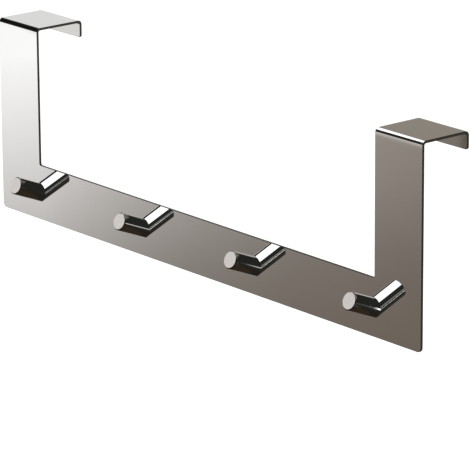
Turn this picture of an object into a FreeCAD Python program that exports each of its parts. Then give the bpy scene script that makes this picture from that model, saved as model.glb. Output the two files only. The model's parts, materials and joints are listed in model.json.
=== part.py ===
"""Over-door hook rail in polished stainless steel.

One folded sheet makes the rail: a long bar that lies against the door, an arm up from each end, a
bridge from each arm over the top of the door, and a short lip down behind it. Four straight round
pegs stand out of the bar and rise towards their tips, so that what hangs on them slides back to the
bar. One countersunk screw from behind holds each peg, sunk just below the face that meets the door.

Frame: millimetres, +X along the rail, +Y from the room into the door, +Z up. The origin is the
middle of the bar's back face, at half the bar's height, level with the middle of each peg's foot.
"""

import FreeCAD, Part
import math
import os

from FreeCAD import Vector

# rail
RAIL_LENGTH = 500.0
RAIL_HEIGHT = 157.0          # lower edge of the bar to the top of the bridges
BAR_HEIGHT = 45.0
ARM_WIDTH = 50.0
DOOR_GAP = 41.0              # clear depth between bar and lip, for a 40 mm door
LIP_HEIGHT = 14.0            # top of the bridge to the free edge of the lip
SHEET = 2.0
BEND_INSIDE = 1.5            # inside radius of both folds
BAR_CORNER = 4.0             # lower corners of the bar
NOTCH_CORNER = 1.5           # where an arm meets the bar
LIP_CORNER = 2.0
EDGE_BREAK = 0.3             # narrow chamfer along the edges of both faces of the sheet

# pegs
PEG_COUNT = 4
PEG_INSET = 50.0             # end of the rail to the middle of the first peg
PEG_DIAMETER = 14.0
PEG_LENGTH = 26.5            # along the peg's axis, from the bar's face to the end face
PEG_RISE = 22.5              # degrees above level
PEG_CHAMFER = 0.8

# screws: countersunk M4 with a cross recess
SCREW_DIAMETER = 4.0
SCREW_LENGTH = 8.0
SCREW_TIP = 0.5              # chamfer at the end of the thread
HEAD_DIAMETER = 7.2
HEAD_RIM = 0.2               # straight rim above the 90 degree cone
HEAD_SINK = 0.1              # top of the head below the bar's back face
RECESS_MOUTH = 4.2           # across the cross recess at the top of the head
RECESS_FLOOR = 1.8           # across it at its floor
RECESS_DEPTH = 1.4
RECESS_WING = 1.0            # width of each of its slots
HOLE_CLEARANCE = 0.15        # all round the screw where it passes through the sheet
THREAD_CLEARANCE = 0.05      # all round the screw in the peg's tapped hole
TAP_RUN_OUT = 1.0            # tapped hole beyond the end of the screw
DRILL_POINT = 118.0          # degrees, at the bottom of the tapped hole

X = Vector(1, 0, 0)
Y = Vector(0, 1, 0)
Z = Vector(0, 0, 1)
ORIGIN = Vector(0, 0, 0)
MARGIN = 1.0                 # how far a cutting tool runs past what it cuts
NEAR = 1e-3                  # lengths and places closer than this are the same

RAIL_END = RAIL_LENGTH / 2
ARM_INNER = RAIL_END - ARM_WIDTH
BAR_TOP = BAR_HEIGHT / 2
BAR_BOTTOM = -BAR_HEIGHT / 2
BAR_FRONT = -SHEET
BRIDGE_TOP = BAR_BOTTOM + RAIL_HEIGHT
LIP_END = BRIDGE_TOP - LIP_HEIGHT
LIP_BACK = DOOR_GAP + SHEET

HEAD_RADIUS = HEAD_DIAMETER / 2
SCREW_RADIUS = SCREW_DIAMETER / 2
CONE_START = HEAD_SINK + HEAD_RIM
CONE_END = CONE_START + HEAD_RADIUS - SCREW_RADIUS
SCREW_END = HEAD_SINK + SCREW_LENGTH


def rounded_wire(corners):
    """A closed wire through (point, radius) corners, each rounded by its own tangent arc."""
    starts, ends, arcs = [], [], []
    for i, (point, radius) in enumerate(corners):
        back = (corners[i - 1][0] - point).normalize()
        ahead = (corners[(i + 1) % len(corners)][0] - point).normalize()
        half_angle = back.getAngle(ahead) / 2
        run = radius / math.tan(half_angle)
        start = point + back * run
        end = point + ahead * run
        starts.append(start)
        ends.append(end)
        if radius:
            to_centre = (back + ahead).normalize()
            middle = point + to_centre * (radius / math.sin(half_angle) - radius)
            arcs.append(Part.Arc(start, middle, end).toShape())
        else:
            arcs.append(None)
    edges = []
    for i, arc in enumerate(arcs):
        if arc:
            edges.append(arc)
        edges.append(Part.makeLine(ends[i], starts[(i + 1) % len(arcs)]))
    return Part.Wire(edges)


def turned(section, axis):
    """A solid turned about an axis through the origin, from (radius, place along the axis) pairs."""
    across = Z.cross(axis) if axis != Z else X
    points = [across * radius + axis * place for radius, place in section]
    return Part.Face(Part.makePolygon(points + points[:1])).revolve(ORIGIN, axis, 360)


def fold_profile():
    """The folded sheet seen along the rail: bar and arm, bridge, lip."""
    outside = BEND_INSIDE + SHEET
    under = BRIDGE_TOP - SHEET
    corners = [
        ((BAR_FRONT, BAR_BOTTOM), 0),
        ((BAR_FRONT, BRIDGE_TOP), outside),
        ((LIP_BACK, BRIDGE_TOP), outside),
        ((LIP_BACK, LIP_END), 0),
        ((DOOR_GAP, LIP_END), 0),
        ((DOOR_GAP, under), BEND_INSIDE),
        ((0, under), BEND_INSIDE),
        ((0, BAR_BOTTOM), 0),
    ]
    return rounded_wire([(Vector(-RAIL_END, y, z), radius) for (y, z), radius in corners])


def front_outline():
    """The rail seen from the room: the bar with an arm up from each end."""
    above = BRIDGE_TOP + MARGIN
    corners = [
        ((-RAIL_END, BAR_BOTTOM), BAR_CORNER),
        ((RAIL_END, BAR_BOTTOM), BAR_CORNER),
        ((RAIL_END, above), 0),
        ((ARM_INNER, above), 0),
        ((ARM_INNER, BAR_TOP), NOTCH_CORNER),
        ((-ARM_INNER, BAR_TOP), NOTCH_CORNER),
        ((-ARM_INNER, above), 0),
        ((-RAIL_END, above), 0),
    ]
    front = BAR_FRONT - MARGIN
    return rounded_wire([(Vector(x, front, z), radius) for (x, z), radius in corners])


def crosses_sheet(edge):
    """True for a short edge that runs straight through the sheet."""
    return len(edge.Vertexes) == 2 and abs(edge.Length - SHEET) < NEAR


def is_fold_line(edge):
    """True for a line along the rail where a flat of the sheet runs on into a bend."""
    box = edge.BoundBox
    along_rail = box.YLength < NEAR and box.ZLength < NEAR
    cut_heights = (LIP_END, BAR_BOTTOM, BAR_TOP)
    return along_rail and all(abs(edge.CenterOfMass.z - z) > NEAR for z in cut_heights)


def folded_sheet():
    """The folded sheet with its corners rounded and its edges broken."""
    strip = Part.Face(fold_profile()).extrude(X * RAIL_LENGTH)
    depth = LIP_BACK - BAR_FRONT + 2 * MARGIN
    sheet = strip.common(Part.Face(front_outline()).extrude(Y * depth))
    lip_corners = [e for e in sheet.Edges if crosses_sheet(e) and abs(e.CenterOfMass.z - LIP_END) < NEAR]
    sheet = sheet.makeFillet(LIP_CORNER, lip_corners)
    outline = [e for e in sheet.Edges if not crosses_sheet(e) and not is_fold_line(e)]
    return sheet.makeChamfer(EDGE_BREAK, outline)


def countersink(x):
    """The cone that takes a screw's head, from outside the bar's back face to the screw's shank."""
    mouth_radius = HEAD_RADIUS + CONE_START + MARGIN
    cone = turned([(0, MARGIN), (mouth_radius, MARGIN), (SCREW_RADIUS, -CONE_END), (0, -CONE_END)], Y)
    cone.translate(X * x)
    return cone


def clearance_hole(x):
    """The hole right through the bar for a screw's shank."""
    radius = SCREW_RADIUS + HOLE_CLEARANCE
    return Part.makeCylinder(radius, SHEET + 2 * MARGIN, X * x + Y * MARGIN, -Y)


def tapped_hole(x):
    """The blind hole in a peg's foot, with the drill's point at its bottom."""
    radius = SCREW_RADIUS + THREAD_CLEARANCE
    bottom = SCREW_END + TAP_RUN_OUT
    point = bottom + radius / math.tan(math.radians(DRILL_POINT / 2))
    hole = turned([(0, MARGIN), (radius, MARGIN), (radius, -bottom), (0, -point)], Y)
    hole.translate(X * x)
    return hole


def door_rail():
    """The folded sheet, drilled and countersunk from behind for each peg's screw."""
    rail = folded_sheet()
    for x in peg_places():
        rail = rail.cut(countersink(x)).cut(clearance_hole(x))
    return rail


def peg_places():
    """X of each peg, evenly spaced between the two end ones."""
    pitch = (RAIL_LENGTH - 2 * PEG_INSET) / (PEG_COUNT - 1)
    return [PEG_INSET - RAIL_END + i * pitch for i in range(PEG_COUNT)]


def peg(x):
    """A straight rising peg with a chamfered end, its foot cut flat against the bar and tapped."""
    radius = PEG_DIAMETER / 2
    inside_bar = -radius * math.tan(math.radians(PEG_RISE)) - MARGIN
    rod = turned(
        [
            (0, inside_bar),
            (radius, inside_bar),
            (radius, PEG_LENGTH - PEG_CHAMFER),
            (radius - PEG_CHAMFER, PEG_LENGTH),
            (0, PEG_LENGTH),
        ],
        Z,
    )
    rod.rotate(ORIGIN, X, 90 - PEG_RISE)
    foot = X * x + Y * BAR_FRONT
    rod.translate(foot)
    reach = PEG_LENGTH + PEG_DIAMETER
    room_side = Part.makeBox(2 * reach, reach, 2 * reach, foot - Vector(reach, reach, reach))
    return rod.common(room_side).cut(countersink(x)).cut(tapped_hole(x))


def cross_recess():
    """The recess for the driver: two crossed slots that narrow towards their floor."""
    top = -HEAD_SINK
    floor = top - RECESS_DEPTH
    section = [
        (-RECESS_MOUTH / 2, top + MARGIN),
        (RECESS_MOUTH / 2, top + MARGIN),
        (RECESS_MOUTH / 2, top),
        (RECESS_FLOOR / 2, floor),
        (-RECESS_FLOOR / 2, floor),
        (-RECESS_MOUTH / 2, top),
    ]
    points = [Vector(across, y, -RECESS_WING / 2) for across, y in section]
    slot = Part.Face(Part.makePolygon(points + points[:1])).extrude(Z * RECESS_WING)
    crossing = slot.copy()
    crossing.rotate(ORIGIN, Y, 90)
    return slot.fuse(crossing)


def screw(x):
    """A countersunk screw, its head towards the door."""
    section = [
        (0, -HEAD_SINK),
        (HEAD_RADIUS, -HEAD_SINK),
        (HEAD_RADIUS, -CONE_START),
        (SCREW_RADIUS, -CONE_END),
        (SCREW_RADIUS, -SCREW_END + SCREW_TIP),
        (SCREW_RADIUS - SCREW_TIP, -SCREW_END),
        (0, -SCREW_END),
    ]
    solid = turned(section, Y).cut(cross_recess())
    solid.translate(X * x)
    return solid


def pieces():
    """Every node of the part by name, each with its list of solids."""
    named = {"door_rail": [door_rail()]}
    for number, x in enumerate(peg_places(), start=1):
        named[f"hook_peg_{number}"] = [peg(x)]
    named["peg_screws"] = [screw(x) for x in peg_places()]
    return named


def export(name, shapes):
    """Write one node's solids to its own STEP file."""
    solids = [solid for shape in shapes for solid in shape.Solids]
    if len(solids) != len(shapes) or not all(solid.isValid() for solid in solids):
        raise RuntimeError(f"{name} isn't sound")
    node = solids[0] if len(solids) == 1 else Part.makeCompound(solids)
    node.exportStep(f"parts/{name}.step")
    print(name, len(solids), "solids,", round(node.Volume, 1), "mm3")


os.makedirs("parts", exist_ok=True)
for node_name, node_shapes in pieces().items():
    export(node_name, node_shapes)
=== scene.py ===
"""Over-door hook rail in polished stainless steel, as the picture shows it.

Metres, in the part's own frame: +X along the rail, +Y from the room into the door, +Z up. The rail is
cut as a flat blank and folded by Geometry Nodes, the pegs and screws are turned and set in a row by
Geometry Nodes, and a light tent that only reflections see gives the polished faces something to show.
"""

import json
import math

import bmesh
import bpy
from mathutils import Matrix, Vector


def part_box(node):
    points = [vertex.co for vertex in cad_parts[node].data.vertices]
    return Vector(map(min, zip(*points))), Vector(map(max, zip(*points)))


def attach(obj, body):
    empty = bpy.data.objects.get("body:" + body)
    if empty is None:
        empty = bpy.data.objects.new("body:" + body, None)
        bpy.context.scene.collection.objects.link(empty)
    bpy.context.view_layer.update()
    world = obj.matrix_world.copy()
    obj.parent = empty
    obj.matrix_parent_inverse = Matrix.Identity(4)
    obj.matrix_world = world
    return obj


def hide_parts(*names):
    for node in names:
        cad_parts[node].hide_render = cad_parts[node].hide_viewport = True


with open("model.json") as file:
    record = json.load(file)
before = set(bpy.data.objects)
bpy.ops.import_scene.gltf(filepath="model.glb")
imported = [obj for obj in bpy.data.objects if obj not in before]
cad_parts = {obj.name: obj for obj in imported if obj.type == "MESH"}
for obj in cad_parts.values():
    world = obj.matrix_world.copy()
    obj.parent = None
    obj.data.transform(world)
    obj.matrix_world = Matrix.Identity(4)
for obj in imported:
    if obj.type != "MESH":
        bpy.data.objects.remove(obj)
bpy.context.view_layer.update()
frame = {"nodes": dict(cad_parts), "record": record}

MM = 0.001
BODY = "root"

# sizes of the rail that the frame gives
RAIL_LOW, RAIL_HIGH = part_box("door_rail")
RAIL_END = RAIL_HIGH.x
BAR_BOTTOM = RAIL_LOW.z
BAR_TOP = -RAIL_LOW.z
BRIDGE_TOP = RAIL_HIGH.z
LIP_BACK = RAIL_HIGH.y
SHEET = -RAIL_LOW.y

# sizes of the rail that its box doesn't give
ARM_WIDTH = 50 * MM
LIP_HEIGHT = 14 * MM
BEND_INSIDE = 1.5 * MM
BAR_CORNER = 4 * MM
NOTCH_CORNER = 1.5 * MM
LIP_CORNER = 2 * MM
EDGE_ROUND = 0.3 * MM
FOLD_LEVEL = BRIDGE_TOP - BEND_INSIDE - SHEET
BOW_REACH = 4.5 * MM
BOW_DEPTH = 0.18 * MM
RIPPLE_DEPTH = 0.01 * MM
GRAIN_DEPTH = 0.0004 * MM

# pegs
PEG_NODES = sorted(name for name in frame["nodes"] if name.startswith("hook_peg_"))
PEG_BOXES = [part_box(name) for name in PEG_NODES]
PEG_PLACES = [(low.x + high.x) / 2 for low, high in PEG_BOXES]
PEG_PITCH = (PEG_PLACES[-1] - PEG_PLACES[0]) / (len(PEG_PLACES) - 1)
PEG_RADIUS = (PEG_BOXES[0][1].x - PEG_BOXES[0][0].x) / 2
PEG_MOUNT = next(mount for mount in frame["record"]["mounts"] if mount["name"] == "peg_1")
PEG_LENGTH = PEG_MOUNT["dims"]["length_mm"] * MM
PEG_AXIS = Vector(PEG_MOUNT["axis"])
PEG_RISE = math.asin(PEG_AXIS.z)
PEG_CHAMFER = 0.8 * MM
CHAMFER_ROUND = 0.12 * MM
ROUNDING_MIDDLE = 0.3
SIDE_RIM = 0.03 * MM
TURNING_PITCH = 0.9 * MM
TURNING_DEPTH = 0.004 * MM

# screws and their holes
SCREW_RADIUS = 2 * MM
SCREW_LENGTH = 8 * MM
SCREW_TIP = 0.5 * MM
HEAD_RADIUS = 3.6 * MM
HEAD_RIM = 0.2 * MM
HEAD_SINK = 0.1 * MM
RECESS_MOUTH = 4.2 * MM
RECESS_FLOOR = 1.8 * MM
RECESS_DEPTH = 1.4 * MM
RECESS_WING = 1.0 * MM
HOLE_CLEARANCE = 0.15 * MM
THREAD_CLEARANCE = 0.05 * MM
THREAD_PITCH = 0.7 * MM
THREAD_DEPTH = 0.4 * MM
THREAD_FLANK = 2.4
THREAD_RUN_OUT = 0.5 * MM
TAP_RUN_OUT = 1.0 * MM
DRILL_POINT = math.radians(118)
MOUTH_BREAK = 0.08 * MM

CONE_START = HEAD_SINK + HEAD_RIM
CONE_END = CONE_START + HEAD_RADIUS - SCREW_RADIUS
SCREW_END = HEAD_SINK + SCREW_LENGTH

# how finely round shapes are divided
CORNER_STEPS = 10
EDGE_STEPS = 4
BEND_STEPS = 28
PEG_STEPS = 96
HOLE_STEPS = 48
THREAD_STEPS = 7
END_RINGS = (0.85, 0.6, 0.35, 0.12)
FLOOR_STEPS = 96
TENT_SUBDIVISIONS = 6

# colours of the steel, each drifting between two
POLISHED = ((0.865, 0.86, 0.855, 1), (0.845, 0.84, 0.833, 1))
MILLED = ((0.62, 0.605, 0.585, 1), (0.58, 0.566, 0.547, 1))
CUT = ((0.112, 0.109, 0.104, 1), (0.083, 0.081, 0.078, 1))
SCREW = ((0.82, 0.815, 0.80, 1), (0.74, 0.735, 0.72, 1))
DRIFT_SCALE = 14.0
DRIFT_SPAN = (0.35, 0.65)
GRAIN_SPAN = (0.3, 0.7)
RIPPLE_SCALE = 18.0

# the pegs' turned ends: their colour, their chamfer's colour, and (end, chamfer) for metal and roughness
TURNED = (0.87, 0.822, 0.795, 1)
# the chamfer's colour is painted shade: far darker than the polished steel it is cut in, so that it shows as
# a dark ring
CHAMFER_PAINTED_SHADE = (0.20, 0.196, 0.19, 1)
END_DARKER = 0.9
END_WAVE = 0.25
END_NOISE_SCALE = 0.35
END_SPAN = (0.25, 0.75)
END_METAL = (0.35, 1.0)
END_ROUGHNESS = (0.45, 0.09)

# camera, fitted to the picture's straight edges and peg ends
CAMERA_PLACE = Vector((2.1118, -1.7252, 0.8265))
CAMERA_AZIMUTH = math.radians(50.201)
CAMERA_ELEVATION = math.radians(16.692)
CAMERA_ROLL = math.radians(-0.371)
CAMERA_LENS = 286.32
CAMERA_SENSOR = 36.0

# studio
FLOOR_LEVEL = -0.6
FLOOR_RADIUS = 12.0
FLOOR_COLOUR = (0.8, 0.8, 0.8, 1)
FLOOR_GLOW = 0.55
WORLD_LIGHT = 0.6
WORLD_SEEN = 1.0
LAMP_SIZE = 1.6
LAMP_WATTS = 60
LAMP_PLACE = Vector((-1.2, -1.6, 2.6))
TENT_RADIUS = 1.2
TENT_MIDDLE = Vector((0, 0, 0.05))

# what the tent shows, seen from its middle: azimuth in degrees from the front towards +X, and elevation
# in degrees above level. The room behind the cards goes from one colour to the other as it rises
ROOM_LOW = (0.170, 0.141, 0.117, 1)
ROOM_HIGH = (0.247, 0.211, 0.176, 1)
ROOM_RISE = (-21.0, -12.5)
TENT_DARK = (0.022, 0.023, 0.020)
# cards: (azimuth, half its width, softness, elevation, half its height, softness, colour)
WALL_CARDS = [
    (0, 180, 1, -66, 30, 6, (0.020, 0.018, 0.015)),
    (180, 90, 10, -66, 30, 6, (0.031, 0.0215, 0.0132)),
    (-62, 16, 12, -33, 5, 4, (0.50, 0.48, 0.46)),
    (-8, 16, 10, -8, 12, 6, (0.40, 0.375, 0.345)),
    (98, 14, 6, -2, 24, 8, (0.42, 0.41, 0.39)),
    (132, 20, 12, 0, 34, 10, (0.37, 0.355, 0.33)),
    (160, 18, 12, -12, 24, 8, (0.50, 0.485, 0.46)),
    (180, 24, 4, 24, 10, 4, (0.125, 0.115, 0.098)),
    (-142, 14, 5, 20, 44, 10, (0.285, 0.257, 0.218)),
    (-120, 11, 3, 8, 16, 4, (0.77, 0.77, 0.765)),
]
FRONT_CARDS = [
    (56, 30, 5, -4, 38, 4, TENT_DARK),
    (-8, 102, 3, 49, 45, 2.5, TENT_DARK),
    (-75, 22, 6, 26, 14, 4, (0.008, 0.008, 0.008)),
    (-26, 9, 3, 6, 8, 3, (0.60, 0.58, 0.56)),
    (-43, 9, 3, -1, 5, 4, (0.80, 0.77, 0.735)),
    (62, 5.5, 2.5, -3, 4, 2.5, (0.30, 0.30, 0.29)),
]
# strips in the same form, which lean so that each follows one peg: a line that shows on the second peg,
# and a line and a glint on the last
STRIP_LEAN = 0.31
STRIP_LEVEL = -17.7
STRIPS = [
    (50.3, 2.0, 0.5, -16.6, 3.6, 1.0, (0.66, 0.66, 0.64)),
    (55.6, 1.1, 0.3, -17.7, 5.0, 1.5, (0.070, 0.072, 0.066)),
    (54.38, 0.5, 0.05, -17.7, 5.0, 0.8, (2.4, 2.4, 2.35)),
]
# window at the left: its span (azimuth, half its width, softness), the azimuth past which it fades, the
# degrees in which it fades by a factor of e, and how it rises and ends, both as (from elevation, to
# elevation, strength at the first, strength at the second)
WINDOW_COLOUR = (1.20, 1.205, 1.21, 1)
WINDOW_SPAN = (-75.0, 50.0, 8.0)
WINDOW_EDGE = -59.05
WINDOW_FADE = 8.7
WINDOW_RISE = (-24.5, -9.0, 0.0, 0.9)
WINDOW_TOP = (-3.0, 3.0, 1.0, 0.0)
# roof panel: distances are shares of the height above the tent's middle. It spans (place along the rail,
# half its length, softness), lies between its front and back edges, which flare out past a place along the
# rail by (side, front flare, back flare), and comes in over a range of elevations
ROOF_COLOUR = (1.55, 1.55, 1.55, 1)
ROOF_ACROSS = (0.015, 1.065, 0.06)
ROOF_FRONT = 0.21
ROOF_BACK = 0.0
ROOF_SOFT = 0.03
ROOF_FLARE_START = 0.36
ROOF_FLARES = ((-1.0, 0.58, -1.3), (1.0, 0.45, 0.0))
ROOF_LOW = (8.0, 12.0, 0.0, 1.0)


def put(tree, socket, value):
    """Sets a socket's value, or links it if the value is another socket."""
    if isinstance(value, bpy.types.NodeSocket):
        tree.links.new(value, socket)
    else:
        socket.default_value = value


def add(tree, kind, inputs=None, **settings):
    """A new node of that kind, with its settings made and its inputs set or linked."""
    node = tree.nodes.new(kind)
    for name, value in settings.items():
        setattr(node, name, value)
    for name, value in (inputs or {}).items():
        put(tree, node.inputs[name], value)
    return node


def calc(tree, operation, *values):
    """The result of a Math node."""
    inputs = dict(enumerate(values))
    return add(tree, "ShaderNodeMath", inputs, operation=operation).outputs[0]


def ranged(tree, value, low, high, to_low, to_high, smooth=False):
    """A value mapped from one range to another, and held at its ends."""
    inputs = {"Value": value, "From Min": low, "From Max": high, "To Min": to_low, "To Max": to_high}
    kind = "SMOOTHSTEP" if smooth else "LINEAR"
    return add(tree, "ShaderNodeMapRange", inputs, interpolation_type=kind).outputs["Result"]


def blended(tree, share, first, second):
    """Two colours mixed."""
    node = add(tree, "ShaderNodeMix", data_type="RGBA")
    put(tree, node.inputs["Factor"], share)
    put(tree, node.inputs[6], first)
    put(tree, node.inputs[7], second)
    return node.outputs[2]


def new_material(name):
    """An empty node material and its output node."""
    material = bpy.data.materials.new(name)
    material.use_nodes = True
    material.node_tree.nodes.clear()
    output = material.node_tree.nodes.new("ShaderNodeOutputMaterial")
    return material, material.node_tree, output


def steel(name, colours, grain_stretch, roughness, wave=0.0, lines=0.0, bow=0.0):
    """Stainless steel: colour and roughness each drift between two values, with lines along the grain.

    colours and roughness are the two values each. The grain is noise scaled along X, Y and Z. wave, lines
    and bow are heights: of slow ripples, of the grain, and of the curve below a fold.
    """
    material, tree, output = new_material(name)
    place = add(tree, "ShaderNodeTexCoord").outputs["Object"]
    drift = add(tree, "ShaderNodeTexNoise", {"Vector": place, "Scale": DRIFT_SCALE, "Detail": 2.0})
    drift_share = ranged(tree, drift.outputs["Fac"], *DRIFT_SPAN, 0.0, 1.0)
    along_grain = add(tree, "ShaderNodeMapping", {"Vector": place, "Scale": grain_stretch})
    grain_inputs = {"Vector": along_grain.outputs[0], "Scale": 1.0, "Detail": 4.0}
    grain = add(tree, "ShaderNodeTexNoise", grain_inputs)
    grain_share = ranged(tree, grain.outputs["Fac"], *GRAIN_SPAN, 0.0, 1.0)
    both = calc(tree, "MULTIPLY", calc(tree, "ADD", drift_share, grain_share), 0.5)
    height = calc(tree, "MULTIPLY", grain.outputs["Fac"], lines)
    if wave:
        ripple_inputs = {"Vector": place, "Scale": RIPPLE_SCALE, "Detail": 0.0}
        ripple = add(tree, "ShaderNodeTexNoise", ripple_inputs)
        height = calc(tree, "ADD", height, calc(tree, "MULTIPLY", ripple.outputs["Fac"], wave))
    if bow:
        up = add(tree, "ShaderNodeSeparateXYZ", {0: place}).outputs["Z"]
        near_fold = ranged(tree, up, FOLD_LEVEL - BOW_REACH, FOLD_LEVEL, 0.0, 1.0)
        height = calc(tree, "MULTIPLY_ADD", calc(tree, "POWER", near_fold, 2.0), -bow, height)
    bump = add(tree, "ShaderNodeBump", {"Height": height, "Strength": 1.0, "Distance": 1.0})
    shader = add(tree, "ShaderNodeBsdfPrincipled", {"Metallic": 1.0, "Normal": bump.outputs[0]})
    put(tree, shader.inputs["Base Color"], blended(tree, drift_share, *colours))
    put(tree, shader.inputs["Roughness"], ranged(tree, both, 0.0, 1.0, *roughness))
    tree.links.new(shader.outputs[0], output.inputs["Surface"])
    return material


def turned_steel(name, colour, chamfer_painted_shade):
    """A finely turned matt end, with rings round the piece's own axis, and a smoother chamfer whose dark
    colour is painted shade.
    """
    material, tree, output = new_material(name)
    distance = add(tree, "ShaderNodeAttribute", attribute_name="from_axis").outputs["Fac"]
    rim_start = PEG_RADIUS - PEG_CHAMFER
    rim = ranged(tree, distance, rim_start, rim_start + CHAMFER_ROUND, 0.0, 1.0)
    turns = calc(tree, "MULTIPLY", distance, 2 * math.pi / TURNING_PITCH)
    wave = calc(tree, "SINE", turns)
    uneven_inputs = {"W": turns, "Scale": END_NOISE_SCALE, "Detail": 2.0}
    uneven = add(tree, "ShaderNodeTexNoise", uneven_inputs, noise_dimensions="1D")
    tone = calc(tree, "MULTIPLY_ADD", wave, END_WAVE, uneven.outputs["Fac"])
    darker = tuple(value * END_DARKER for value in colour[:3]) + (1,)
    end_colour = blended(tree, ranged(tree, tone, *END_SPAN, 0.0, 1.0), darker, colour)
    height = calc(tree, "MULTIPLY", wave, TURNING_DEPTH)
    bump = add(tree, "ShaderNodeBump", {"Height": height, "Strength": 1.0, "Distance": 1.0})
    shader = add(tree, "ShaderNodeBsdfPrincipled", {"Normal": bump.outputs[0]})
    put(tree, shader.inputs["Metallic"], ranged(tree, rim, 0.0, 1.0, *END_METAL))
    # the chamfer's base colour is painted shade, far darker than its steel, so that it shows as a dark ring
    put(tree, shader.inputs["Base Color"], blended(tree, rim, end_colour, chamfer_painted_shade))
    put(tree, shader.inputs["Roughness"], ranged(tree, rim, 0.0, 1.0, *END_ROUGHNESS))
    tree.links.new(shader.outputs[0], output.inputs["Surface"])
    return material


def ring(mesh, points):
    """Vertices at these points, in order round a closed ring."""
    return [mesh.verts.new(point) for point in points]


def skin(mesh, first, second):
    """Faces between two rings with as many vertices each, or between a ring and one pole."""
    faces = []
    count = max(len(first), len(second))
    for i in range(count):
        j = (i + 1) % count
        corners = [first[i % len(first)], first[j % len(first)]]
        corners += [second[j % len(second)], second[i % len(second)]]
        faces.append(mesh.faces.new(list(dict.fromkeys(corners))))
    return faces


def finished(mesh, name):
    """A mesh object with doubles merged and faces turned outwards."""
    bmesh.ops.remove_doubles(mesh, verts=mesh.verts, dist=1e-7)
    bmesh.ops.recalc_face_normals(mesh, faces=mesh.faces)
    data = bpy.data.meshes.new(name)
    mesh.to_mesh(data)
    mesh.free()
    made = bpy.data.objects.new(name, data)
    bpy.context.scene.collection.objects.link(made)
    return made


def node_group(name, inputs):
    """A Geometry Nodes tree with named inputs, and its input and output nodes."""
    tree = bpy.data.node_groups.new(name, "GeometryNodeTree")
    for label, kind in [("Geometry", "Geometry"), *inputs]:
        tree.interface.new_socket(label, in_out="INPUT", socket_type="NodeSocket" + kind)
    tree.interface.new_socket("Geometry", in_out="OUTPUT", socket_type="NodeSocketGeometry")
    return tree, tree.nodes.new("NodeGroupInput"), tree.nodes.new("NodeGroupOutput")


def grown(source, tree, values):
    """The plain mesh that a tree makes from an object, with the tree's inputs set by name."""
    modifier = source.modifiers.new(tree.name, "NODES")
    modifier.node_group = tree
    for socket in tree.interface.items_tree:
        if socket.in_out == "INPUT" and socket.name in values:
            modifier[socket.identifier] = values[socket.name]
    graph = bpy.context.evaluated_depsgraph_get()
    data = bpy.data.meshes.new_from_object(source.evaluated_get(graph), depsgraph=graph)
    source.modifiers.remove(modifier)
    return data


def piece(name, data, slot, *nodes):
    """A finished piece that rides on the part and stands for these nodes."""
    made = bpy.data.objects.new(name, data)
    bpy.context.scene.collection.objects.link(made)
    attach(made, BODY)
    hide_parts(*nodes)
    return made


def outline(corners, inset):
    """Points anticlockwise round an outline of (x, height, radius) right-angled corners, moved inwards."""
    points = []
    for i, (x, z, radius) in enumerate(corners):
        here = Vector((x, z))
        back = (Vector(corners[i - 1][:2]) - here).normalized()
        ahead = (Vector(corners[(i + 1) % len(corners)][:2]) - here).normalized()
        centre = here + (back + ahead) * radius
        hollow = ahead.x * back.y - ahead.y * back.x < 0
        reach = radius + inset if hollow else radius - inset
        for step in range(CORNER_STEPS + 1):
            turn = math.pi / 2 * step / CORNER_STEPS
            points.append(centre - (ahead * math.cos(turn) + back * math.sin(turn)) * reach)
    return points


def blank_corners(top):
    """Corners of the flat blank, anticlockwise from the bar's lower left."""
    inner = RAIL_END - ARM_WIDTH
    return [
        (-RAIL_END, BAR_BOTTOM, BAR_CORNER),
        (RAIL_END, BAR_BOTTOM, BAR_CORNER),
        (RAIL_END, top, LIP_CORNER),
        (inner, top, LIP_CORNER),
        (inner, BAR_TOP, NOTCH_CORNER),
        (-inner, BAR_TOP, NOTCH_CORNER),
        (-inner, top, LIP_CORNER),
        (-RAIL_END, top, LIP_CORNER),
    ]


def edge_profile():
    """(inset, depth below the front face) from the front face over the rounded edge to the back face."""
    turns = [math.pi / 2 * step / EDGE_STEPS for step in range(EDGE_STEPS + 1)]
    front = [(EDGE_ROUND * (1 - math.sin(turn)), EDGE_ROUND * (1 - math.cos(turn))) for turn in turns]
    back = [(inset, SHEET - depth) for inset, depth in reversed(front)]
    return front + back


def countersink_profile():
    """(radius, depth below the front face) from the front of a screw's hole to its wide mouth behind."""
    hole = SCREW_RADIUS + HOLE_CLEARANCE
    mouth = HEAD_RADIUS + CONE_START
    return [
        (hole, 0),
        (hole, SHEET - (mouth - hole)),
        (mouth - MOUTH_BREAK, SHEET - MOUTH_BREAK),
        (mouth + MOUTH_BREAK / 2, SHEET - MOUTH_BREAK / 4),
        (mouth + MOUTH_BREAK, SHEET),
    ]


def circle(radius, steps):
    """Points round a circle in the plane."""
    turns = [2 * math.pi * step / steps for step in range(steps)]
    return [Vector((radius * math.cos(turn), radius * math.sin(turn))) for turn in turns]


def loop_edges(mesh, loop):
    """The edges between neighbours round a ring."""
    return [mesh.edges.get((a, b)) for a, b in zip(loop, loop[1:] + loop[:1])]


def cut_walls(mesh, rings, cut_layer):
    """Smooth faces from each ring to the next, marked as cut."""
    for near, far in zip(rings, rings[1:]):
        for face in skin(mesh, near, far):
            face.smooth = True
            face[cut_layer] = 1


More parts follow.
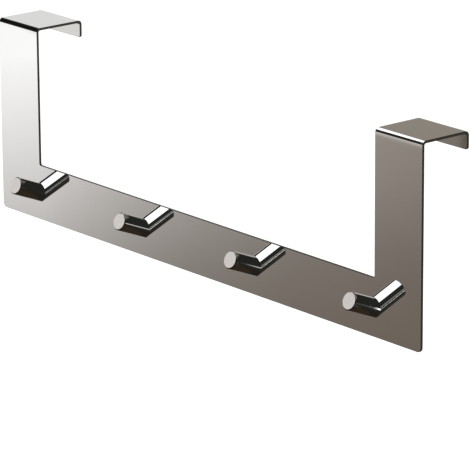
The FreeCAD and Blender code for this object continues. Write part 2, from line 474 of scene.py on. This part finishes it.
def flat_blank(top, fold_rows):
    """The blank before folding: both faces, rounded edges and holes, divided along the fold rows."""
    mesh = bmesh.new()
    cut_layer = mesh.faces.layers.int.new("cut_face")
    flat_layer = mesh.faces.layers.int.new("flat_face")
    back_layer = mesh.faces.layers.int.new("back_face")
    corners = blank_corners(top)
    rims = []
    for inset, depth in edge_profile():
        rims.append(ring(mesh, [(p.x, depth - SHEET, p.y) for p in outline(corners, inset)]))
    cut_walls(mesh, rims, cut_layer)
    front_rings, back_rings = [rims[0]], [rims[-1]]
    for x in PEG_PLACES:
        walls = []
        for radius, depth in countersink_profile():
            walls.append(ring(mesh, [(x + p.x, depth - SHEET, p.y) for p in circle(radius, HOLE_STEPS)]))
        cut_walls(mesh, walls, cut_layer)
        front_rings.append(walls[0])
        back_rings.append(walls[-1])
    for rings, facing in ((front_rings, -1), (back_rings, 1)):
        edges = [edge for loop in rings for edge in loop_edges(mesh, loop)]
        for edge in edges:
            edge.smooth = False
        filled = bmesh.ops.triangle_fill(mesh, use_beauty=True, edges=edges, normal=(0, facing, 0))
        for item in filled["geom"]:
            if isinstance(item, bmesh.types.BMFace):
                item[flat_layer] = 1
                item[back_layer] = int(facing > 0)
    for height in fold_rows:
        everything = mesh.verts[:] + mesh.edges[:] + mesh.faces[:]
        bmesh.ops.bisect_plane(mesh, geom=everything, dist=1e-8, plane_co=(0, 0, height), plane_no=(0, 0, 1))
    low, high = min(fold_rows), max(fold_rows)
    for face in mesh.faces:
        if face[flat_layer] and low < face.calc_center_median().z < high:
            face.smooth = True
    return finished(mesh, "blank")


def fold_group():
    """A tree that folds a flat sheet, its back face at y = 0, along one line across it."""
    inputs = [("Line", "Float"), ("Inside Radius", "Float"), ("Sheet", "Float"), ("Angle", "Float")]
    tree, given, result = node_group("fold along a line", inputs)
    inside, angle = given.outputs["Inside Radius"], given.outputs["Angle"]
    place = add(tree, "ShaderNodeSeparateXYZ", {0: tree.nodes.new("GeometryNodeInputPosition").outputs[0]})
    past = calc(tree, "SUBTRACT", place.outputs["Z"], given.outputs["Line"])
    middle_radius = calc(tree, "MULTIPLY_ADD", given.outputs["Sheet"], 0.5, inside)
    run = calc(tree, "MULTIPLY", middle_radius, angle)
    bent = calc(tree, "MINIMUM", calc(tree, "MAXIMUM", past, 0.0), run)
    straight = calc(tree, "SUBTRACT", past, bent)
    turn = calc(tree, "MULTIPLY", calc(tree, "DIVIDE", bent, run), angle)
    reach = calc(tree, "SUBTRACT", inside, place.outputs["Y"])
    cosine, sine = calc(tree, "COSINE", turn), calc(tree, "SINE", turn)
    depth_turned = calc(tree, "SUBTRACT", inside, calc(tree, "MULTIPLY", reach, cosine))
    depth = calc(tree, "MULTIPLY_ADD", straight, sine, depth_turned)
    height_turned = calc(tree, "MULTIPLY_ADD", reach, sine, given.outputs["Line"])
    height = calc(tree, "MULTIPLY_ADD", straight, cosine, height_turned)
    folded = add(tree, "ShaderNodeCombineXYZ", {"X": place.outputs["X"], "Y": depth, "Z": height})
    moved = {"Geometry": given.outputs["Geometry"], "Position": folded.outputs[0]}
    tree.links.new(add(tree, "GeometryNodeSetPosition", moved).outputs[0], result.inputs[0])
    return tree


def fold_tree(face_material, back_material, edge_material):
    """A tree that folds the blank at the lip and at the arm, and gives each kind of face its material."""
    inputs = [("Arm Line", "Float"), ("Lip Line", "Float"), ("Inside Radius", "Float"), ("Sheet", "Float")]
    tree, given, result = node_group("folded rail", inputs)
    fold = fold_group()
    shape = given.outputs["Geometry"]
    for line in ("Lip Line", "Arm Line"):
        step = add(tree, "GeometryNodeGroup", node_tree=fold)
        put(tree, step.inputs["Geometry"], shape)
        put(tree, step.inputs["Line"], given.outputs[line])
        put(tree, step.inputs["Inside Radius"], given.outputs["Inside Radius"])
        put(tree, step.inputs["Sheet"], given.outputs["Sheet"])
        put(tree, step.inputs["Angle"], math.pi / 2)
        shape = step.outputs[0]
    shape = add(tree, "GeometryNodeRealizeInstances", {0: shape}).outputs[0]
    shape = add(tree, "GeometryNodeSetMaterial", {"Geometry": shape, "Material": face_material}).outputs[0]
    for faces, material in (("back_face", back_material), ("cut_face", edge_material)):
        found = add(tree, "GeometryNodeInputNamedAttribute", {"Name": faces}, data_type="INT")
        chosen = {"Geometry": shape, "Selection": found.outputs["Attribute"], "Material": material}
        shape = add(tree, "GeometryNodeSetMaterial", chosen).outputs[0]
    tree.links.new(shape, result.inputs[0])
    return tree


def make_rail(face_material, back_material, edge_material):
    """The rail: a flat blank folded back over the door and down behind it."""
    outside = BEND_INSIDE + SHEET
    run = (BEND_INSIDE + SHEET / 2) * math.pi / 2
    arm_line = BRIDGE_TOP - outside
    lip_line = arm_line + run + (LIP_BACK - outside) - (outside - SHEET)
    top = lip_line + run + LIP_HEIGHT - outside
    rows = [line + run * step / BEND_STEPS for line in (arm_line, lip_line) for step in range(BEND_STEPS + 1)]
    blank = flat_blank(top, rows)
    values = {"Arm Line": arm_line, "Lip Line": lip_line, "Inside Radius": BEND_INSIDE, "Sheet": SHEET}
    data = grown(blank, fold_tree(face_material, back_material, edge_material), values)
    bpy.data.objects.remove(blank)
    return piece("rail_folded", data, "polished_sheet", "door_rail")


def peg_point(turn, radius, along):
    """A point on a peg at x = 0, by its angle round the axis, distance from it and place along it."""
    upright = Vector((0, math.sin(PEG_RISE), math.cos(PEG_RISE)))
    foot = Vector((0, -SHEET, 0))
    across = Vector((math.cos(turn), 0, 0)) + upright * math.sin(turn)
    return foot + PEG_AXIS * along + across * radius


def peg_end_profile():
    """(radius, place along the axis) from the side over the rounded chamfer towards the end's middle."""
    slope = math.sqrt(0.5)
    start = Vector((PEG_RADIUS, PEG_LENGTH - PEG_CHAMFER))
    end = Vector((PEG_RADIUS - PEG_CHAMFER, PEG_LENGTH))
    down = Vector((0, -1)) * CHAMFER_ROUND
    inwards = Vector((-1, 0)) * CHAMFER_ROUND
    along = Vector((-slope, slope)) * CHAMFER_ROUND
    points = [start + down - Vector((0, SIDE_RIM)), start + down]
    points += [start + down * ROUNDING_MIDDLE + along * ROUNDING_MIDDLE, start + along]
    points += [end - along, end - along * ROUNDING_MIDDLE + inwards * ROUNDING_MIDDLE, end + inwards]
    return [(p.x, p.y) for p in points]


def make_base_peg():
    """One peg at x = 0: tapped hole, foot against the bar, side, rounded chamfer and turned end."""
    mesh = bmesh.new()
    turned = mesh.faces.layers.int.new("turned_end")
    axis_layer = mesh.verts.layers.float.new("from_axis")
    turns = [2 * math.pi * step / PEG_STEPS for step in range(PEG_STEPS)]
    hole = SCREW_RADIUS + THREAD_CLEARANCE
    hole_end = SCREW_END + TAP_RUN_OUT
    tip = hole_end + hole / math.tan(DRILL_POINT / 2)
    slant = math.tan(PEG_RISE)

    def hole_ring(depth):
        return ring(mesh, [(hole * math.cos(t), -depth, hole * math.sin(t)) for t in turns])

    pole = ring(mesh, [(0, -tip, 0)])
    rings = [pole, hole_ring(hole_end), hole_ring(SHEET)]
    foot_face = len(rings) - 1
    for past_foot in (0, SIDE_RIM):
        starts = [PEG_RADIUS * math.sin(t) * slant + past_foot for t in turns]
        rings.append(ring(mesh, [peg_point(t, PEG_RADIUS, start) for t, start in zip(turns, starts)]))
    chamfer_start = len(rings) + 1
    for radius, along in peg_end_profile():
        rings.append(ring(mesh, [peg_point(t, radius, along) for t in turns]))
    side_count = len(rings)
    last_radius = peg_end_profile()[-1][0]
    for share in END_RINGS:
        rings.append(ring(mesh, [peg_point(t, last_radius * share, PEG_LENGTH) for t in turns]))
    rings.append(ring(mesh, [peg_point(0, 0, PEG_LENGTH)]))
    for i, (near, far) in enumerate(zip(rings, rings[1:])):
        for face in skin(mesh, near, far):
            face.smooth = i != foot_face and i < side_count - 1
            face[turned] = int(i >= chamfer_start)
    middle = Vector((0, -SHEET, 0))
    for vert in mesh.verts:
        offset = vert.co - middle
        vert[axis_layer] = (offset - PEG_AXIS * offset.dot(PEG_AXIS)).length
    return finished(mesh, "base_peg")


def screw_rings(mesh, steps):
    """Rings down a screw from its head's top to its tip, the threads cut by a turning wave."""
    rows = [(0, HEAD_SINK), (HEAD_RADIUS, HEAD_SINK), (HEAD_RADIUS, CONE_START), (SCREW_RADIUS, CONE_END)]
    rings = []
    for radius, depth in rows:
        if radius:
            rings.append(ring(mesh, [(p.x, -depth, p.y) for p in circle(radius, steps)]))
        else:
            rings.append(ring(mesh, [(0, -depth, 0)]))
    start, end = CONE_END, SCREW_END
    count = round((end - start) / THREAD_PITCH * THREAD_STEPS)
    for row in range(1, count + 1):
        depth = start + (end - start) * row / count
        fade = min(1.0, (depth - start) / THREAD_RUN_OUT)
        limit = min(SCREW_RADIUS, SCREW_RADIUS - SCREW_TIP + (end - depth))
        points = []
        for step in range(steps):
            turn = 2 * math.pi * step / steps
            phase = (depth / THREAD_PITCH + step / steps) % 1.0
            notch = max(0.0, 1.0 - abs(phase - 0.5) * THREAD_FLANK)
            radius = min(limit, SCREW_RADIUS - THREAD_DEPTH * notch * fade)
            points.append((radius * math.cos(turn), -depth, radius * math.sin(turn)))
        rings.append(ring(mesh, points))
    rings.append(ring(mesh, [(0, -end, 0)]))
    return rings


def oblong(half_width, half_height):
    """The corners of a rectangle round the middle, in order."""
    left, right = -half_width, half_width
    return [(left, -half_height), (right, -half_height), (right, half_height), (left, half_height)]


def recess_cutter():
    """The driver's cross recess as a solid: two crossed slots that narrow towards their floor."""
    mesh = bmesh.new()
    top, floor = -HEAD_SINK + RECESS_DEPTH, -HEAD_SINK - RECESS_DEPTH
    wide = RECESS_MOUTH / 2 + (RECESS_MOUTH - RECESS_FLOOR) / 2
    for quarter in (0, math.pi / 2):
        turn = Matrix.Rotation(quarter, 4, "Y")
        low, high = oblong(RECESS_FLOOR / 2, RECESS_WING / 2), oblong(wide, RECESS_WING / 2)
        lower = ring(mesh, [turn @ Vector((x, floor, z)) for x, z in low])
        upper = ring(mesh, [turn @ Vector((x, top, z)) for x, z in high])
        skin(mesh, lower, upper)
        mesh.faces.new(lower)
        mesh.faces.new(upper)
    return finished(mesh, "recess_cutter")


def make_base_screw():
    """One countersunk screw at x = 0, its cross recess cut and its thread turned."""
    mesh = bmesh.new()
    rings = screw_rings(mesh, HOLE_STEPS)
    for i, (near, far) in enumerate(zip(rings, rings[1:])):
        for face in skin(mesh, near, far):
            face.smooth = i > 0
    screw = finished(mesh, "base_screw")
    cutter = recess_cutter()
    cut = screw.modifiers.new("recess", "BOOLEAN")
    cut.operation = "DIFFERENCE"
    cut.solver = "EXACT"
    cut.use_self = True
    cut.object = cutter
    graph = bpy.context.evaluated_depsgraph_get()
    data = bpy.data.meshes.new_from_object(screw.evaluated_get(graph), depsgraph=graph)
    screw.modifiers.remove(cut)
    screw.data = data
    bpy.data.objects.remove(cutter)
    return screw


def row_tree(name, main_material, second_material=None, second_faces=""):
    """A tree that sets copies of a piece in a row, numbers them and gives them their materials."""
    inputs = [("Count", "Int"), ("First Place", "Vector"), ("Pitch", "Vector")]
    tree, given, result = node_group(name, inputs)
    line_inputs = {"Count": given.outputs["Count"], "Start Location": given.outputs["First Place"]}
    line = add(tree, "GeometryNodeMeshLine", {**line_inputs, "Offset": given.outputs["Pitch"]})
    points = {"Points": line.outputs[0], "Instance": given.outputs["Geometry"]}
    row = add(tree, "GeometryNodeInstanceOnPoints", points).outputs[0]
    number = tree.nodes.new("GeometryNodeInputIndex").outputs[0]
    kept = {"Geometry": row, "Name": "number", "Value": number}
    row = add(tree, "GeometryNodeStoreNamedAttribute", kept, data_type="INT", domain="INSTANCE").outputs[0]
    row = add(tree, "GeometryNodeRealizeInstances", {0: row}).outputs[0]
    row = add(tree, "GeometryNodeSetMaterial", {"Geometry": row, "Material": main_material}).outputs[0]
    if second_material:
        found = add(tree, "GeometryNodeInputNamedAttribute", {"Name": second_faces}, data_type="INT")
        chosen = {"Geometry": row, "Selection": found.outputs["Attribute"], "Material": second_material}
        row = add(tree, "GeometryNodeSetMaterial", chosen).outputs[0]
    tree.links.new(row, result.inputs[0])
    return tree


def row_values():
    """The row's inputs: one copy at each peg's place."""
    first = (PEG_PLACES[0], 0, 0)
    return {"Count": len(PEG_PLACES), "First Place": first, "Pitch": (PEG_PITCH, 0, 0)}


def only_number(data, number):
    """A copy of a row's mesh with just the copy of that number."""
    mesh = bmesh.new()
    mesh.from_mesh(data)
    layer = mesh.verts.layers.int["number"]
    others = [vert for vert in mesh.verts if vert[layer] != number]
    bmesh.ops.delete(mesh, geom=others, context="VERTS")
    single = data.copy()
    mesh.to_mesh(single)
    mesh.free()
    return single


def make_pegs(side_material, end_material):
    """The pegs, turned once, set in a row and then parted into one piece each."""
    base = make_base_peg()
    tree = row_tree("row of pegs", side_material, end_material, "turned_end")
    row = grown(base, tree, row_values())
    for number, node in enumerate(PEG_NODES):
        piece(node + "_turned", only_number(row, number), "polished_peg", node)
    bpy.data.objects.remove(base)


def make_screws(material):
    """The screws behind the pegs, one piece with a copy for each peg."""
    base = make_base_screw()
    data = grown(base, row_tree("row of screws", material), row_values())
    piece("screws_turned", data, "screw_steel", "peg_screws")
    bpy.data.objects.remove(base)


def make_floor():
    """A plain pale floor that the camera sees white, with shadows kept. Reflections see the tent instead."""
    mesh = bmesh.new()
    bmesh.ops.create_circle(mesh, cap_ends=True, segments=FLOOR_STEPS, radius=FLOOR_RADIUS)
    bmesh.ops.translate(mesh, verts=mesh.verts, vec=(0, 0, FLOOR_LEVEL))
    floor = finished(mesh, "floor")
    material, tree, output = new_material("pale_floor")
    paths = tree.nodes.new("ShaderNodeLightPath")
    seen = calc(tree, "MAXIMUM", paths.outputs["Is Camera Ray"], paths.outputs["Is Glossy Ray"])
    matt = add(tree, "ShaderNodeBsdfDiffuse", {"Color": FLOOR_COLOUR})
    strength = calc(tree, "MULTIPLY", seen, FLOOR_GLOW)
    glow = add(tree, "ShaderNodeEmission", {"Color": (1, 1, 1, 1), "Strength": strength})
    both = add(tree, "ShaderNodeAddShader", {0: matt.outputs[0], 1: glow.outputs[0]})
    tree.links.new(both.outputs[0], output.inputs["Surface"])
    floor.data.materials.append(material)
    floor.visible_glossy = False


def make_world():
    """A soft even light that the camera sees as plain white. The tent hides it from reflections."""
    world = bpy.data.worlds.new("studio")
    bpy.context.scene.world = world
    world.use_nodes = True
    tree = world.node_tree
    tree.nodes.clear()
    paths = tree.nodes.new("ShaderNodeLightPath")
    seen = calc(tree, "MAXIMUM", paths.outputs["Is Camera Ray"], paths.outputs["Is Glossy Ray"])
    seen = calc(tree, "MAXIMUM", seen, paths.outputs["Is Transmission Ray"])
    strength = ranged(tree, seen, 0.0, 1.0, WORLD_LIGHT, WORLD_SEEN)
    background = add(tree, "ShaderNodeBackground", {"Color": (1, 1, 1, 1), "Strength": strength})
    output = tree.nodes.new("ShaderNodeOutputWorld")
    tree.links.new(background.outputs[0], output.inputs["Surface"])


def make_lamp():
    """One large soft lamp above and to the left of the camera."""
    lamp = bpy.data.lights.new("soft_lamp", "AREA")
    lamp.shape = "DISK"
    lamp.size = LAMP_SIZE
    lamp.energy = LAMP_WATTS
    holder = bpy.data.objects.new("soft_lamp", lamp)
    holder.location = LAMP_PLACE
    holder.rotation_mode = "QUATERNION"
    holder.rotation_quaternion = (-LAMP_PLACE).to_track_quat("-Z", "Y")
    holder.visible_glossy = False
    bpy.context.scene.collection.objects.link(holder)


def soft_span(tree, value, middle, half, soft):
    """One inside a span about its middle, falling softly to zero past its ends."""
    offset = calc(tree, "ABSOLUTE", calc(tree, "SUBTRACT", value, middle))
    return ranged(tree, offset, half - soft, half + soft, 1.0, 0.0, smooth=True)


def soft_turn(tree, azimuth, middle, half, soft):
    """As soft_span, for an azimuth in degrees, which comes round again at 180."""
    offset = calc(tree, "SUBTRACT", azimuth, middle)
    return soft_span(tree, calc(tree, "WRAP", offset, 180.0, -180.0), 0.0, half, soft)


def with_cards(tree, azimuth, elevation, colour, cards):
    """The colour with soft-edged cards hung in front of it, in their order."""
    for middle, half, soft, level, half_level, soft_level, shade in cards:
        across = soft_turn(tree, azimuth, middle, half, soft)
        upright = soft_span(tree, elevation, level, half_level, soft_level)
        colour = blended(tree, calc(tree, "MULTIPLY", across, upright), colour, (*shade, 1))
    return colour


def tent_material():
    """What the tent shows in reflections: soft cards, a window and a roof panel, by azimuth and elevation."""
    material, tree, output = new_material("tent_cloth")
    place = add(tree, "ShaderNodeTexCoord").outputs["Object"]
    apart = add(tree, "ShaderNodeSeparateXYZ", {0: place})
    forward = calc(tree, "MULTIPLY", apart.outputs["Y"], -1.0)
    azimuth = calc(tree, "DEGREES", calc(tree, "ARCTAN2", apart.outputs["X"], forward))
    height = calc(tree, "DIVIDE", apart.outputs["Z"], TENT_RADIUS)
    elevation = calc(tree, "DEGREES", calc(tree, "ARCSINE", height))
    room_share = ranged(tree, elevation, *ROOM_RISE, 0.0, 1.0, smooth=True)
    colour = blended(tree, room_share, ROOM_LOW, ROOM_HIGH)
    colour = with_cards(tree, azimuth, elevation, colour, WALL_CARDS)
    colour = blended(tree, window_share(tree, azimuth, elevation), colour, WINDOW_COLOUR)
    colour = with_cards(tree, azimuth, elevation, colour, FRONT_CARDS)
    level = calc(tree, "SUBTRACT", elevation, STRIP_LEVEL)
    leaning = calc(tree, "MULTIPLY_ADD", level, STRIP_LEAN, azimuth)
    colour = with_cards(tree, leaning, elevation, colour, STRIPS)
    colour = blended(tree, roof_share(tree, apart, forward, elevation), colour, ROOF_COLOUR)
    glow = add(tree, "ShaderNodeEmission", {"Color": colour, "Strength": 1.0})
    tree.links.new(glow.outputs[0], output.inputs["Surface"])
    return material


def window_share(tree, azimuth, elevation):
    """How strongly a white window at the left shows: it fades to the front and downwards, and has a top."""
    past_edge = calc(tree, "MAXIMUM", calc(tree, "SUBTRACT", azimuth, WINDOW_EDGE), 0.0)
    fade = calc(tree, "EXPONENT", calc(tree, "DIVIDE", past_edge, -WINDOW_FADE))
    rise = ranged(tree, elevation, *WINDOW_RISE)
    share = calc(tree, "MULTIPLY", calc(tree, "MULTIPLY", fade, rise), soft_span(tree, azimuth, *WINDOW_SPAN))
    return calc(tree, "MULTIPLY", share, ranged(tree, elevation, *WINDOW_TOP, smooth=True))


def roof_share(tree, apart, forward, elevation):
    """One inside a long soft panel over the rail, which widens towards its ends."""
    up = calc(tree, "MAXIMUM", apart.outputs["Z"], 0.01)
    along = calc(tree, "DIVIDE", apart.outputs["X"], up)
    ahead = calc(tree, "DIVIDE", forward, up)
    front, back = ROOF_FRONT, ROOF_BACK
    for side, front_flare, back_flare in ROOF_FLARES:
        past = calc(tree, "MAXIMUM", calc(tree, "MULTIPLY_ADD", along, side, -ROOF_FLARE_START), 0.0)
        front = calc(tree, "MULTIPLY_ADD", past, front_flare, front)
        back = calc(tree, "MULTIPLY_ADD", past, back_flare, back)
    share = calc(tree, "MULTIPLY", soft_span(tree, along, *ROOF_ACROSS), ranged(tree, elevation, *ROOF_LOW))
    past_front, past_back = calc(tree, "SUBTRACT", ahead, front), calc(tree, "SUBTRACT", ahead, back)
    before = ranged(tree, past_front, -ROOF_SOFT, ROOF_SOFT, 1.0, 0.0, smooth=True)
    behind = ranged(tree, past_back, -ROOF_SOFT, ROOF_SOFT, 0.0, 1.0, smooth=True)
    return calc(tree, "MULTIPLY", share, calc(tree, "MULTIPLY", before, behind))


def make_tent():
    """A round light tent that only reflections see."""
    mesh = bmesh.new()
    bmesh.ops.create_icosphere(mesh, subdivisions=TENT_SUBDIVISIONS, radius=TENT_RADIUS)
    tent = finished(mesh, "light_tent")
    tent.location = TENT_MIDDLE
    tent.data.materials.append(tent_material())
    tent.visible_camera = False
    tent.visible_diffuse = False
    tent.visible_shadow = False
    tent.visible_transmission = False


def make_camera():
    """The camera, placed as it was fitted to the picture."""
    azimuth, elevation = CAMERA_AZIMUTH, CAMERA_ELEVATION
    flat = Vector((-math.sin(azimuth), math.cos(azimuth), 0))
    ahead = flat * math.cos(elevation) - Vector((0, 0, math.sin(elevation)))
    right = Vector((math.cos(azimuth), math.sin(azimuth), 0))
    up = right.cross(ahead)
    turned_right = right * math.cos(CAMERA_ROLL) + up * math.sin(CAMERA_ROLL)
    turned_up = up * math.cos(CAMERA_ROLL) - right * math.sin(CAMERA_ROLL)
    lens = bpy.data.cameras.new("camera")
    lens.lens = CAMERA_LENS
    lens.sensor_width = CAMERA_SENSOR
    lens.clip_start = 0.01
    lens.clip_end = 100
    holder = bpy.data.objects.new("camera", lens)
    turned = Matrix((turned_right, turned_up, -ahead)).transposed().to_4x4()
    holder.matrix_world = Matrix.Translation(CAMERA_PLACE) @ turned
    bpy.context.scene.collection.objects.link(holder)
    bpy.context.scene.camera = holder


make_camera()
make_world()
make_lamp()
make_floor()
make_tent()

sheet_face = steel(
    "mirror_polished_sheet", POLISHED, (30, 30, 1800), (0.0, 0.03),
    wave=RIPPLE_DEPTH, lines=GRAIN_DEPTH, bow=BOW_DEPTH,
)
sheet_back = steel("mill_finish_back", MILLED, (30, 30, 900), (0.11, 0.17))
cut_edge = steel("cut_sheet_edge", CUT, (900, 60, 900), (0.22, 0.34))
peg_side = steel("polished_peg_side", POLISHED, (90, 90, 90), (0.01, 0.035))
peg_end = turned_steel("turned_peg_end", TURNED, CHAMFER_PAINTED_SHADE)
screw_steel = steel("screw_steel", SCREW, (90, 90, 90), (0.2, 0.34))

make_rail(sheet_face, sheet_back, cut_edge)
make_pegs(peg_side, peg_end)
make_screws(screw_steel)

bpy.context.scene.view_settings.view_transform = "Standard"
